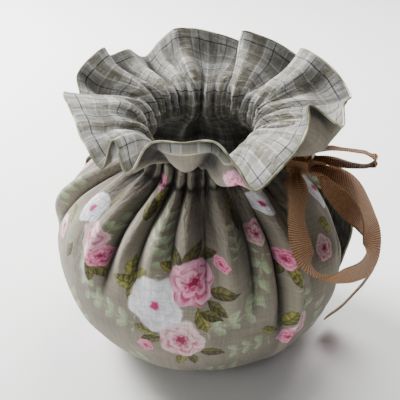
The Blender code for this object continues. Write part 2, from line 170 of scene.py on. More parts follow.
TURNED = (24.75, 28.15)  # places round the rim between which the lining is turned over it
TURNED_DEPTH = 4.8  # from the rim to its foot
TURNED_THICKNESS = 0.45
TURNED_EASE = 0.6  # it sets in over so many places at each end, and over so many millimetres at its foot
TURNED_END = 9.0  # millimetres over which the foot rises to the rim at each end

FRILL_FOLDS = (
    # fold, place at channel, at rim, rise, half width in places at channel, at rim
    ("left stand hollow",  25.35, 24.75, -6.2, 0.50, 0.42),
    ("stand flap",         26.15, 25.85,  4.3, 0.58, 0.80),
    ("right stand hollow", 27.00, 26.95, -7.5, 0.50, 0.48),
    ("right point swell",  27.95, 28.10,  3.0, 0.60, 0.60),
    ("right lobe pleat",     2.3,   2.0,  3.5, 0.60, 0.70),
    ("corner pleat",         5.8,   5.6,  4.0, 0.50, 0.50),
    ("back lobe hollow",     9.7,   9.6,  3.5, 0.60, 0.80),
    ("back lobe tuck",      11.5,  11.3,  5.0, 0.45, 0.50),
    ("back notch crease",   13.4,  12.9,  5.0, 0.50, 0.40),
    ("small lobe pocket",   14.9,  15.2,  5.0, 0.55, 0.50),
    ("left lobe pocket",    17.2,  17.2,  5.0, 0.55, 0.55),
    ("side lobe pleat",     20.4,  20.6,  3.5, 0.60, 0.60),
    ("cup swell",           33.4,  33.4,  8.0, 0.50, 0.55),
)

FLAP = "stand flap"
FLAP_BEGINS = 0.16  # share of the frill's length; all the other folds begin at the channel
FRILL_SET_IN = 0.35  # share over which a fold reaches its full rise
FRILL_ENDS = (0.72, 0.97)  # shares between which it dies out
FRILL_BEND = 0.42  # how stiffly a strip of the frill leaves its ends, as a share of its reach

# Folds whose outside lies in the frill's shade, and how deep
SHADED = {"left stand hollow": 1.6, "right stand hollow": 1.6, "cup swell": 1.0}

# The cup's corner is turned out and down: where, half width in places, out, down, turn at channel and rim
LIP = (34.0, 0.55, 5.5, 9.0, 18.0, 50.0)

SLITS = (
    # seam angle, half angle, foot height, top height
    (0.0, 8.0, 22.0, 106.0),
    (180.0, 9.0, 26.0, 108.0),
)
SLIT_REACH = 60.0  # degrees round the body over which cloth is pushed aside
SLIT_FOOT_EASE = 18.0  # height over which a slit opens
SLIT_TOP_EASE = 22.0  # and closes

WRINKLES = (
    # kind, bumps round the cloth, length of one up the cloth, lean, seed
    ("dents", 21, 31.0, 0.0, 3),
    ("crumple", 61, 11.0, 0.0, 4),
    ("streaks", 66, 55.0, 3.3, 6),
    ("puckers", 140, 6.0, 0.0, 7),
    ("hem", 84, 60.0, 0.0, 8),
    ("rim", 45, 40.0, 0.0, 9),
)
NOISE_ROWS = 64

STITCH = 1.1  # half width of the furrow along a row of stitching
STITCH_DEPTH = 0.75
STITCH_ENDS = 3.0  # the furrow dies out so near to an edge
CHANNEL_FILL = 0.7  # how far the ribbon in the channel pushes each layer out
EDGE_TAPER = 5.0  # each layer thins out so near to an edge
SEAM_HAIR = 0.55  # gap between a panel's edge and its side seam
EVENED = (0.12, 4.0)  # places and millimetres to each side over which the cloth's slope is taken
FINE_ROWS = 34.0  # so far below the frill the rows of the mesh get closer

RIBBON_WIDTH = 15.0
RIBBON_THICKNESS = 0.55
PINCH = 0.36  # share of its width that the ribbon keeps in the knot
PINCH_LENGTH = 15.0  # over which it widens again
PINCH_RIPPLES = 3  # lengthwise pleats in the pinch
PINCH_RIPPLE = 1.5  # and their depth
CUPPED = 0.5  # how far its edges curl where it is flat
RIBBON_STEP = 0.8
RIBBON_ROWS = 14
RIB = 1.05  # from one rib of the grosgrain to the next
KNOT_CENTRE = (54.3, -8.5, 118.8)
KNOT_SIZE = (13.5, 12.0, 9.4)
KNOT_ROUND = 36.0  # ribbon round the knot

EDGE_COLUMNS = 420  # along the rim
EDGE_STEP = 1.2  # along the sides
EDGE_FOOT = 4.0  # so far up the cloth the rolled edges begin

# Painted shade in the creases, lighter on the ridges: over so many columns and rows, a crease so deep is
# painted fully dark on the outside, or so deep in the lining
CREASE_SHADE_SCALES = ((4, 0.8, 0.9), (10, 2.3, 4.5))

# Each row: a point of the ribbon's middle line, and the way its width runs there
LONG_LOOP = (
    # x, y, z, width x, y, z
    (53.8, -15.7, 117.5, 1.0, 0.1, 0.1),
    (54.9, -19.8, 116.9, 0.95, 0.35, 0.05),
    (56.3, -25.5, 115.0, 0.78, 0.55, -0.3),
    (57.4, -33.0, 111.6, 0.55, 0.5, -0.65),
    (59.0, -40.5, 107.2, 0.49, 0.52, -0.71),
    (61.2, -46.5, 102.5, 0.54, 0.68, -0.5),
    (63.6, -50.8, 97.5, 0.54, 0.78, -0.3),
    (66.6, -53.4, 92.2, 0.36, 0.92, -0.08),
    (70.4, -54.2, 86.8, -0.15, 0.97, -0.13),
    (75.6, -51.5, 82.2, -0.4, 0.75, -0.52),
    (82.0, -46.5, 79.0, -0.32, 0.4, -0.86),
    (88.3, -39.5, 76.6, -0.25, 0.25, -0.94),
    (93.4, -30.5, 74.6, 0.0, 0.2, -0.97),
    (96.6, -21.5, 74.4, 0.3, 0.22, -0.92),
    (96.9, -14.5, 77.6, 0.57, 0.6, -0.57),
    (95.8, -11.0, 84.0, 0.54, 0.82, -0.17),
    (93.5, -9.6, 92.0, 0.28, 0.95, 0.0),
    (90.2, -9.6, 100.3, 0.15, 0.98, 0.05),
    (85.8, -10.0, 107.8, 0.12, 0.98, 0.1),
    (79.8, -11.2, 113.8, 0.1, 0.98, 0.1),
    (72.8, -12.2, 117.2, 0.05, 0.99, 0.05),
    (66.2, -12.4, 118.0, 0.0, 1.0, 0.0),
    (61.6, -11.8, 116.3, 0.05, 1.0, 0.05),
)
SHORT_LOOP = (
    (57.0, -8.5, 124.4, 0.0, 1.0, 0.0),
    (61.0, -9.3, 127.2, 0.0, 0.98, -0.15),
    (67.5, -10.5, 129.5, -0.05, 0.95, -0.25),
    (75.0, -11.0, 130.3, -0.05, 0.92, -0.35),
    (82.0, -10.7, 130.2, -0.05, 0.92, -0.35),
    (88.0, -10.2, 129.4, -0.05, 0.92, -0.35),
    (92.0, -10.0, 126.4, -0.05, 0.92, -0.35),
    (89.0, -10.0, 123.6, -0.05, 0.92, -0.35),
    (83.0, -10.4, 122.9, -0.05, 0.95, -0.3),
    (76.0, -10.6, 123.2, 0.0, 0.97, -0.2),
    (68.5, -9.6, 122.7, 0.0, 0.99, -0.1),
    (61.7, -8.9, 121.2, 0.0, 1.0, 0.0),
)
TAIL = (
    (61.6, -5.2, 116.6, 0.0, 1.0, 0.0),
    (64.4, -4.6, 114.2, 0.1, 0.98, 0.1),
    (68.5, -4.2, 110.3, 0.35, 0.85, 0.35),
    (73.5, -4.0, 105.0, 0.6, 0.62, 0.5),
    (81.5, -3.5, 95.5, 0.66, 0.55, 0.5),
    (89.0, -2.0, 86.8, 0.4, 0.86, 0.15),
    (93.6, 0.5, 76.5, 0.1, 0.92, -0.38),
    (96.6, 4.0, 65.0, 0.0, 0.86, -0.5),
    (97.6, 6.5, 54.0, -0.03, 0.84, -0.54),
    (95.0, 7.6, 43.0, -0.05, 0.83, -0.55),
    (89.4, 8.0, 31.2, -0.06, 0.82, -0.56),
    (82.4, 8.0, 19.4, -0.07, 0.82, -0.57),
    (76.0, 7.8, 11.5, -0.08, 0.81, -0.58),
)
LEAD = (
    (39.1, -6.6, 122.0, 0.0, 0.97, 0.2),
    (41.6, -7.3, 121.2, 0.0, 1.0, 0.15),
    (44.2, -7.8, 120.2, 0.0, 1.0, 0.05),
    (46.8, -8.0, 119.4, 0.0, 1.0, 0.0),
)


# ---- curves and noise

def smooth_curve(knots, values, wanted, period=None):
    """Values on a smooth curve through rows of values at knots; it closes where a period is given."""
    if period:
        knots = np.concatenate([knots - period, knots, knots + period])
        values = np.concatenate([values] * 3)
    steps = np.diff(knots)[:, None]
    slopes = np.diff(values, axis=0) / steps
    tangents = np.empty_like(values)
    tangents[0] = slopes[0]
    tangents[-1] = slopes[-1]
    weighted = slopes[:-1] * steps[1:] + slopes[1:] * steps[:-1]
    tangents[1:-1] = weighted / (steps[1:] + steps[:-1])
    i = np.clip(np.searchsorted(knots, wanted, side="right") - 1, 0, len(knots) - 2)
    step = steps[i]
    t = (wanted[:, None] - knots[i][:, None]) / step
    start = (2 * t**3 - 3 * t**2 + 1) * values[i] + (t**3 - 2 * t**2 + t) * step * tangents[i]
    end = (3 * t**2 - 2 * t**3) * values[i + 1] + (t**3 - t**2) * step * tangents[i + 1]
    return start + end


def distances(points, closed=False):
    """How far along a line of points each one lies, with the whole way round last if it closes."""
    if closed:
        points = np.vstack([points, points[:1]])
    return np.concatenate([[0.0], np.cumsum(np.linalg.norm(np.diff(points, axis=0), axis=1))])


def fade(value, low, high):
    """0 below low, 1 above high and a soft step between."""
    t = np.clip((value - low) / (high - low), 0.0, 1.0)
    return t * t * (3 - 2 * t)


def angle_apart(angle, other):
    """From one angle to another the short way round."""
    return (angle - other + 180.0) % 360.0 - 180.0


def soft_noise(x, y, around, seed):
    """Smooth random heights from -1 to 1, one bump a unit; in x it closes after so many bumps."""
    table = np.random.default_rng(seed).uniform(-1.0, 1.0, (around, NOISE_ROWS))
    column = np.floor(x).astype(int)
    row = np.floor(y).astype(int)
    across = fade(x - column, 0.0, 1.0)
    up = fade(y - row, 0.0, 1.0)
    left, right = column % around, (column + 1) % around
    low, high = row % NOISE_ROWS, (row + 1) % NOISE_ROWS
    below = table[left, low] * (1 - across) + table[right, low] * across
    above = table[left, high] * (1 - across) + table[right, high] * across
    return below * (1 - up) + above * up


# ---- the cloth's shape

PROFILE_LINE = np.array(PROFILE)
PROFILE_ALONG = HEM + distances(PROFILE_LINE)
BODY_LENGTH = PROFILE_ALONG[-1]
CLOTH_LENGTH = BODY_LENGTH + FRILL
RIM_ROWS = np.array([row[1:] for row in RIM])
RIM_ANGLES = np.radians(RIM_ROWS[:, 0])
RIM_POINTS = np.column_stack([
    RIM_ROWS[:, 1] * np.cos(RIM_ANGLES),
    RIM_ROWS[:, 1] * np.sin(RIM_ANGLES),
    RIM_ROWS[:, 2],
])
RIM_ALONG = distances(RIM_POINTS, closed=True)
RIM_STEPS = np.diff(RIM_ALONG)
RIM_LENGTH = RIM_ALONG[-1]
PLEAT_DEPTHS = RIM_STEPS * np.random.default_rng(5).uniform(*GATHER_SPREAD, len(RIM))
PLEAT_FEET = np.random.default_rng(9).uniform(*GATHER_FEET, len(RIM))


def cloth_along(place):
    """How far round the cloth, in millimetres, a place in the rim's table is."""
    return np.interp(place, np.arange(len(RIM_ALONG)), RIM_ALONG)


def body_angle(place, height):
    """The angle round the body, with the cloth pushed aside at the slits."""
    even = 360.0 * cloth_along(place) / RIM_LENGTH
    spout_at = 360.0 * RIM_ALONG[SPOUT_SEAM] / RIM_LENGTH
    even = even + (180.0 - spout_at) * np.sin(np.radians(even / 2)) ** 2
    angle = even.copy()
    for seam, half, foot, top in SLITS:
        apart = angle_apart(even, seam)
        near = np.clip(1 - np.abs(apart) / SLIT_REACH, 0.0, 1.0) ** 2
        open_here = fade(height, foot, foot + SLIT_FOOT_EASE) * (1 - fade(height, top - SLIT_TOP_EASE, top))
        angle = angle + np.sign(apart) * half * near * open_here
    return angle


def body_point(place, along, gathered):
    """A point of the body, the hem or the ribbon's channel."""
    line = smooth_curve(PROFILE_ALONG, PROFILE_LINE, np.maximum(along, HEM))
    radius = line[:, 0] - np.maximum(HEM - along, 0.0)
    height = line[:, 1]
    angle = body_angle(place, height)
    for _, neck_angle, foot_angle, foot, rise, half in FOLDS:
        up = np.clip((height - foot) / (NECK_HEIGHT - foot), 0.0, 1.0)
        across = angle_apart(angle, foot_angle + (neck_angle - foot_angle) * up)
        wide = half * (FOLD_NARROWED + (1 - FOLD_NARROWED) * radius / BELLY)
        exponent = RIDGE_EXPONENT if rise > 0 else CREASE_EXPONENT
        bump = np.exp(-(np.abs(np.radians(across) * radius / wide) ** exponent))
        strength = fade(up, 0.0, FOLD_SET_IN) * (1 - FOLD_FLATTENED * fade(height, *FLATTENED))
        radius = radius + rise * bump * strength
    if gathered:
        pleat = np.floor(place).astype(int) % len(RIM)
        foot = PLEAT_FEET[pleat]
        depth = GATHER * PLEAT_DEPTHS[pleat] * fade(height, foot, NECK_HEIGHT)
        radius = radius - depth * (0.5 - 0.5 * np.cos(2 * np.pi * place))
    front = np.maximum(np.cos(np.radians(angle - NECK_FRONT)), 0.0) ** 1.5 * fade(height, *NECK_PULLED)
    radius = radius + NECK_FORWARD * front
    turn = np.radians(angle)
    return np.column_stack([radius * np.cos(turn), radius * np.sin(turn), height - NECK_DROP * front])


def frill_fold(place, t, fold):
    """How near a place is to the middle of a fold of the frill, from 0 to 1."""
    _, channel_place, rim_place, _, channel_half, rim_half = fold
    across = place % len(RIM) - (channel_place + (rim_place - channel_place) * t)
    return np.exp(-((across / (channel_half + (rim_half - channel_half) * t)) ** 2))


def frill_shade(place, along):
    """How deep in the shade of the frill a point of the outside is."""
    t = (along - BODY_LENGTH) / FRILL
    folds = [fold for fold in FRILL_FOLDS if fold[0] in SHADED]
    return sum(SHADED[fold[0]] * frill_fold(place, t, fold) for fold in folds) * fade(t, 0.0, 0.2)


def frill_point(place, along, gathered):
    """A point of the frill: each strip leaves the channel and bends over to its place on the rim."""
    rim = smooth_curve(RIM_ALONG[:-1], np.column_stack([RIM_POINTS, RIM_ROWS[:, 3:]]),
                       cloth_along(place % len(RIM)), period=RIM_LENGTH)
    start = body_point(place, np.full_like(place, BODY_LENGTH), gathered)
    up = np.array([0.0, 0.0, 1.0])
    out_start = start * (1, 1, 0)
    out_start = out_start / np.linalg.norm(out_start, axis=1, keepdims=True)
    out_end = rim[:, :3] * (1, 1, 0)
    out_end = out_end / np.linalg.norm(out_end, axis=1, keepdims=True)
    lip_place, lip_half, lip_out, lip_down, turn_start, turn_end = LIP
    from_lip = (place - lip_place + len(RIM) / 2) % len(RIM) - len(RIM) / 2
    lip = np.exp(-((from_lip / lip_half) ** 2))[:, None]
    end = rim[:, :3] + lip * (lip_out * out_end - lip_down * up)
    rise_start = np.radians(rim[:, 3:4] - turn_start * lip)
    rise_end = np.radians(rim[:, 4:5] - turn_end * lip)
    reach = np.linalg.norm(end - start, axis=1, keepdims=True)
    bend = FRILL_BEND * reach
    first = start + bend * (out_start * np.cos(rise_start) + up * np.sin(rise_start))
    second = end - bend * (out_end * np.cos(rise_end) + up * np.sin(rise_end))
    t = ((along - BODY_LENGTH) / FRILL)[:, None]
    point = ((1 - t) ** 3 * start + 3 * (1 - t) ** 2 * t * first
             + 3 * (1 - t) * t**2 * second + t**3 * end)
    tangent = (1 - t) ** 2 * (first - start) + 2 * (1 - t) * t * (second - first) + t**2 * (end - second)
    outward = np.cross(np.cross(up, out_start * (1 - t) + out_end * t), tangent)
    outward = outward / np.linalg.norm(outward, axis=1, keepdims=True)
    rise = np.zeros(len(place))
    t = t[:, 0]
    for fold in FRILL_FOLDS:
        begin = FLAP_BEGINS if fold[0] == FLAP else 0.0
        here = fade(t, begin, begin + FRILL_SET_IN) * (1 - fade(t, *FRILL_ENDS))
        rise = rise + fold[3] * frill_fold(place, t, fold) * here
    return point + outward * rise[:, None]


def cloth_point(place, along, gathered=True):
    """The middle of the cloth, between panel and lining, in millimetres."""
    in_frill = (along > BODY_LENGTH)[:, None]
    body = body_point(place, np.minimum(along, BODY_LENGTH), gathered)
    frill = frill_point(place, np.maximum(along, BODY_LENGTH), gathered)
    return np.where(in_frill, frill, body)


def cloth_outward(place, along):
    """The way the cloth's outer face looks, evened out over the small gathers and the bend at the neck."""
    aside, above = EVENED
    side = cloth_point(place + aside, along, False) - cloth_point(place - aside, along, False)
    rise = cloth_point(place, along + above, False) - cloth_point(place, along - above, False)
    normal = np.cross(side, rise)
    return normal / np.linalg.norm(normal, axis=1, keepdims=True)


def wrinkles(place, along):
    """How far both layers stand off their smooth shape: soft dents, streaks from the gathers and puckers."""
    turn = cloth_along(place % len(RIM)) / RIM_LENGTH
    neck = np.exp(-((along - BODY_LENGTH + 6.0) / 38.0) ** 2)
    frill = fade(along, BODY_LENGTH + 4.0, BODY_LENGTH + 20.0)
    clear_of_hem = fade(along, 9.0, 26.0)
    # how high each kind stands, and where
    strengths = {
        "dents": 0.75 * clear_of_hem,
        "crumple": 0.22 * clear_of_hem * (1 + 1.2 * frill),
        "streaks": 0.65 * neck + 0.45 * frill,
        "puckers": 0.55 * np.exp(-((along - BODY_LENGTH) / 11.0) ** 2),
        "hem": 0.9 * np.exp(-((along - 15.0) / 7.0) ** 2),
        "rim": fade(along, CLOTH_LENGTH - 26.0, CLOTH_LENGTH),
    }
    return sum(strengths[kind] * soft_noise(turn * bumps, along / length + lean * turn, bumps, seed)
               for kind, bumps, length, lean, seed in WRINKLES)


def stitched_in(along):
    """How far each layer is drawn towards the other by the two rows of stitching along the channel."""
    foot = BODY_LENGTH - CHANNEL
    rows = sum(np.exp(-((along - row) / STITCH) ** 2) for row in (BODY_LENGTH, foot))
    between = fade(along, foot, foot + 4.0) * (1 - fade(along, BODY_LENGTH - 4.0, BODY_LENGTH))
    return STITCH_DEPTH * rows - CHANNEL_FILL * between


def turned_hem(place, along):
    """1 on the hem of lining that is turned over the front stand's rim, 0 off it."""
    start, end = TURNED
    across = fade(place, start, start + TURNED_EASE) * (1 - fade(place, end - TURNED_EASE, end))
    foot = CLOTH_LENGTH - TURNED_DEPTH * across
    return fade(along, foot - TURNED_EASE, foot) * across


# ---- making pieces

def made_mesh(name, bm):
    """A mesh from a bmesh, which is then freed."""
    mesh = bpy.data.meshes.new(name)
    bm.to_mesh(mesh)
    bm.free()
    return mesh


def in_scene(name, data):
    """A new object in the scene."""
    made = bpy.data.objects.new(name, data)
    bpy.context.collection.objects.link(made)
    return made


def sheet_mesh(name, columns, rows, place_points, place_uvs, creases=None):
    """A closed sheet: a grid and its copy a thickness away, with walls between along the edges.

    place_points gets each corner's column, row and layer, 0 on the near face and 1 on the far one.
    Creases says how deep in a fold each column and row lies, kept as the crease attribute from which the
    materials paint shade.
    """
    bm = bmesh.new()
    bmesh.ops.create_grid(bm, x_segments=columns, y_segments=rows, size=0.5)
    copy = bmesh.ops.extrude_face_region(bm, geom=bm.faces[:], use_keep_orig=True)
    for vert in copy["geom"]:
        if isinstance(vert, bmesh.types.BMVert):
            vert.co.z = 1.0
    mesh = made_mesh(name, bm)
    flat = np.empty(len(mesh.vertices) * 3)
    mesh.vertices.foreach_get("co", flat)
    flat = flat.reshape(-1, 3)
    column = np.round((flat[:, 0] + 0.5) * columns).astype(int)
    row = np.round((flat[:, 1] + 0.5) * rows).astype(int)
    points = place_points(column, row, flat[:, 2])
    mesh.vertices.foreach_set("co", (points * MM).ravel())
    corner = np.empty(len(mesh.loops), dtype=np.int32)
    mesh.loops.foreach_get("vertex_index", corner)
    uvs = place_uvs(column, row) * MM
    mesh.uv_layers.new(name="cloth").data.foreach_set("uv", uvs[corner].ravel())
    # painted shade: the crease attribute, which darkens the colour in hollows and lightens it on ridges
    if creases is not None:
        mesh.attributes.new("crease", "FLOAT", "POINT").data.foreach_set("value", creases[column, row])
    mesh.polygons.foreach_set("use_smooth", np.ones(len(mesh.polygons), dtype=bool))
    bm = bmesh.new()
    bm.from_mesh(mesh)
    bmesh.ops.recalc_face_normals(bm, faces=bm.faces[:])
    bm.to_mesh(mesh)
    bm.free()
    return mesh


def add_piece(name, data, material, slot, *nodes):
    """Puts a piece in the scene on the cosy's body, standing for the given CAD nodes."""
    piece = in_scene(name, data)
    data.materials.append(material)
    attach(piece, "root")
    if nodes:
        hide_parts(*nodes)
    return piece


def ribbon_line(route):
    """The ribbon's middle line, the ways it runs and faces, and how far along each point is."""
    route = np.array(route)
    along = distances(route[:, :3])
    steps = max(4, round(along[-1] / RIBBON_STEP))
    wanted = along[-1] * np.arange(steps + 1) / steps
    line = smooth_curve(along, route, wanted)
    tangent = np.gradient(line[:, :3], axis=0)
    tangent /= np.linalg.norm(tangent, axis=1, keepdims=True)
    face = np.cross(tangent, line[:, 3:])
    face /= np.linalg.norm(face, axis=1, keepdims=True)
    across = np.cross(face, tangent)
    return line[:, :3], across, face, wanted


def ribbon_mesh(name, route, free_end):
    """A stretch of ribbon, gathered lengthwise where it goes into the knot."""
    line, across, face, wanted = ribbon_line(route)
    from_knot = wanted if free_end else np.minimum(wanted, wanted[-1] - wanted)
    share = PINCH + (1 - PINCH) * fade(from_knot, 0.0, PINCH_LENGTH)

    def place_points(column, row, layer):
        sideways = row / RIBBON_ROWS - 0.5
        tight = (1 - share[column]) / (1 - PINCH)
        ripple = PINCH_RIPPLE * tight * np.cos(PINCH_RIPPLES * 2 * np.pi * sideways)
        cupped = CUPPED * (sideways * 2) ** 2 * (1 - tight)
        depth = ripple + cupped + (layer - 0.5) * RIBBON_THICKNESS
        return (line[column] + across[column] * (sideways * RIBBON_WIDTH * share[column])[:, None]
                + face[column] * depth[:, None])

    def place_uvs(column, row):
        return np.column_stack([wanted[column], row / RIBBON_ROWS * RIBBON_WIDTH])

    return sheet_mesh(name, len(line) - 1, RIBBON_ROWS, place_points, place_uvs), line, wanted[-1]


# ---- materials

def colour(text):
    """A colour from its sRGB hex value."""
    parts = [int(text[i:i + 2], 16) / 255 for i in (1, 3, 5)]
    linear = [c / 12.92 if c <= 0.04045 else ((c + 0.055) / 1.055) ** 2.4 for c in parts]
    return (*linear, 1.0)


def fill(node, inputs):
    """Links a node's inputs to sockets or sets them to values, by name or number."""
    for key, value in inputs.items():
        if isinstance(value, bpy.types.NodeSocket):
            node.id_data.links.new(value, node.inputs[key])
        else:
            node.inputs[key].default_value = value


def add_node(tree, kind, *inputs, out=None, **settings):
    """Adds a node with its settings and fills its inputs, given in order or as a table.

    The kind may name the node's operation too. Gives the named output, or else the first in use.
    """
    kind, _, operation = kind.partition(" ")
    made = tree.nodes.new(kind if kind.startswith("NodeGroup") else "ShaderNode" + kind)
    if operation:
        made.operation = operation
    for key, value in settings.items():
        setattr(made, key, value)
    fill(made, inputs[0] if inputs and isinstance(inputs[0], dict) else dict(enumerate(inputs)))
    return made.outputs[out] if out else next((socket for socket in made.outputs if socket.enabled), None)


def new_material(name):
    """A new material, a function that adds nodes to it, and its shader."""
    material = bpy.data.materials.new(name)
    material.use_nodes = True
    tree = material.node_tree
    return material, partial(add_node, tree), tree.nodes["Principled BSDF"]


def cloth_place(add):
    """Where a point is on the flat cloth, in millimetres."""
    place = add("UVMap", uv_map="cloth")
    return add("VectorMath SCALE", {0: place, "Scale": 1000.0})


def new_group(name, *inputs):
    """A node group that lays one motif over the colour under it."""
    tree = bpy.data.node_groups.new(name, "ShaderNodeTree")
    for label in ("Under", *inputs):
        tree.interface.new_socket(label, in_out="INPUT", socket_type="NodeSocketColor")
    for label in ("Cloth", "Centre"):
        tree.interface.new_socket(label, in_out="INPUT", socket_type="NodeSocketVector")
    for label in ("Size", "Turn"):
        tree.interface.new_socket(label, in_out="INPUT", socket_type="NodeSocketFloat")
    tree.interface.new_socket("Colour", in_out="OUTPUT", socket_type="NodeSocketColor")
    add = partial(add_node, tree)
    given = add("NodeGroupInput").node.outputs
    offset = add("VectorMath SUBTRACT", given["Cloth"], given["Centre"])
    half = (REPEAT[0] / 2, REPEAT[1] / 2, 1.0)
    near = add("VectorMath WRAP", offset, half, tuple(-h for h in half))
    scaled = add("VectorMath DIVIDE", near, given["Size"])
    turned = add("VectorRotate", {"Vector": scaled, "Angle": given["Turn"]}, rotation_type="Z_AXIS")
    x, y = [add("VectorMath DOT_PRODUCT", turned, axis) for axis in ((1.0, 0.0, 0.0), (0.0, 1.0, 0.0))]
    return tree, add, given, turned, x, y


def finish_group(tree, given, motif, mask):
    """The motif's colour over the one under it, where its mask is 1."""
    laid = add_node(tree, "Mix", {0: mask, 6: given["Under"], 7: motif}, data_type="RGBA")
    add_node(tree, "NodeGroupOutput", laid)
    return tree


# A step with soft ends, which keeps within its bounds by itself
SMOOTH = {"interpolation_type": "SMOOTHSTEP", "clamp": False}


def rose_group():
    """A full-blown rose, brushed: petals that overlap in turn, paler above, round a small deep heart."""
    tree, add, given, place, x, y = new_group("rose", "Petal", "Blush", "Heart")
    radius = add("VectorMath LENGTH", place)
    angle = add("Math ARCTAN2", y, x)
    lobes = add("Math SINE", add("Math MULTIPLY_ADD", angle, 5.0, 0.8))
    edge = add("Math MULTIPLY_ADD", lobes, 0.07, 0.93)
    out = add("Math DIVIDE", radius, edge)
    # each petal runs a little outwards round the rose and ends at the next one
    turns = add("Math MULTIPLY", out, 0.35)
    turns = add("Math MULTIPLY_ADD", angle, 2.5 / math.pi, turns)
    petal = add("Math FRACT", turns)
    bulge = add("Math SINE", add("Math MULTIPLY", petal, math.pi))
    step = add("Math MULTIPLY", bulge, -0.34)
    step = add("Math MULTIPLY_ADD", petal, -0.45, step)
    rings = add("Math MULTIPLY_ADD", out, 2.7, step)
    ring = add("Math FRACT", rings)
    tone = add("MapRange", ring, 0.0, 0.8, **SMOOTH)
    # brush strokes that follow the petals round, and the paler upper side
    strokes = add("CombineXYZ", rings, turns)
    strokes = add("TexNoise", {"Vector": strokes, "Scale": 3.0, "Detail": 2.0}, noise_dimensions="2D")
    strokes = add("Math MULTIPLY_ADD", strokes, 1.3, -0.60)
    tone = add("Math MULTIPLY_ADD", tone, 0.55, strokes)
    tone = add("Math MULTIPLY_ADD", y, 0.26, tone)
    tone = add("Math MULTIPLY_ADD", out, 0.30, tone)
    tone = add("MapRange", tone, 0.0, 0.9, **SMOOTH)
    petals = add("Mix", {0: tone, 6: given["Blush"], 7: given["Petal"]}, data_type="RGBA")
    deep = add("MapRange", out, 0.26, 0.12, **SMOOTH)
    rose = add("Mix", {0: deep, 6: petals, 7: given["Heart"]}, data_type="RGBA")
    mask = add("MapRange", out, 1.0, 0.88, **SMOOTH)
    return finish_group(tree, given, rose, mask)


def leaf_group():
    """A pointed leaf, brushed dark on one side and light on the other, with a few side veins."""
    tree, add, given, _, x, y = new_group("leaf", "Leaf", "Vein")
    off = add("Math ABSOLUTE", y)
    half = add("Math SUBTRACT", 1.0, add("Math MULTIPLY", x, x))
    half = add("Math MULTIPLY", half, 0.5)
    inside = add("Math SUBTRACT", half, off)
    veins = add("Math MULTIPLY", off, -2.0)
    veins = add("Math MULTIPLY_ADD", x, 2.4, veins)
    veins = add("Math FRACT", veins)
    veins = add("MapRange", veins, 0.0, 0.9, 0.0, 0.55, **SMOOTH)
    side = add("MapRange", y, -0.30, 0.12, -0.1, 0.5, **SMOOTH)
    light = add("Math ADD", veins, side)
    midrib = add("MapRange", off, 0.03, 0.10, 0.3, **SMOOTH)
    light = add("Math MULTIPLY", light, midrib)
    deep = add("MapRange", inside, 0.0, 0.16, **SMOOTH)
    light = add("Math MULTIPLY", light, deep)
    leaf = add("Mix", {0: light, 6: given["Leaf"], 7: given["Vein"]}, data_type="RGBA")
    mask = add("MapRange", inside, 0.0, 0.09, **SMOOTH)
    return finish_group(tree, given, leaf, mask)


def sprig_group():
    """A thin stem with three pairs of oval leaves that slant forward."""
    tree, add, given, _, x, y = new_group("sprig", "Leaf", "Vein")
    off = add("Math ABSOLUTE", y)
    pair = add("Math WRAP", x, 0.42, -0.22)
    slant = math.radians(50)
    forward = add("Math MULTIPLY", pair, math.cos(slant))
    forward = add("Math MULTIPLY_ADD", off, math.sin(slant), forward)
    sideways = add("Math MULTIPLY", pair, -math.sin(slant))
    sideways = add("Math MULTIPLY_ADD", off, math.cos(slant), sideways)
    lengthwise = add("MapRange", forward, 0.30, 0.60, clamp=False)
    across = add("MapRange", sideways, 0.02, 0.21, clamp=False)
    oval = add("CombineXYZ", lengthwise, across)
    oval = add("VectorMath LENGTH", oval)
    leaves = add("MapRange", oval, 1.0, 0.7, **SMOOTH)
    stem = add("MapRange", off, 0.06, 0.02, 0.0, 0.7, **SMOOTH)
    drawn = add("Math MAXIMUM", leaves, stem)
    ends = add("Math ABSOLUTE", x)
    ends = add("MapRange", ends, 1.0, 0.94, **SMOOTH)
    mask = add("Math MULTIPLY", drawn, ends)
    mask = add("Math MULTIPLY", mask, 0.85)
    tone = add("MapRange", across, -0.5, 0.4, **SMOOTH)
    leaf = add("Mix", {0: tone, 6: given["Leaf"], 7: given["Vein"]}, data_type="RGBA")
    return finish_group(tree, given, leaf, mask)


# The print's colours, in the order of a group's inputs
INKS = {
    "pink rose": ("#F4B6CC", "#C2487A", "#98103F"),
    "blush rose": ("#E8D2CC", "#CE6A92", "#9E1B4E"),
    "white rose": ("#F6F5F8", "#D5D6E0", "#B62468"),
    "bud": ("#EC9DB9", "#C23F70", "#9A1F4E"),
    "olive leaf": ("#474220", "#9A984A"),
    "dark leaf": ("#2F2816", "#6E6A36"),
    "mint sprig": ("#B0C09B", "#9AAB84"),
}
REPEAT = (205.0, 216.0)  # the print repeats after so much cloth, round and up

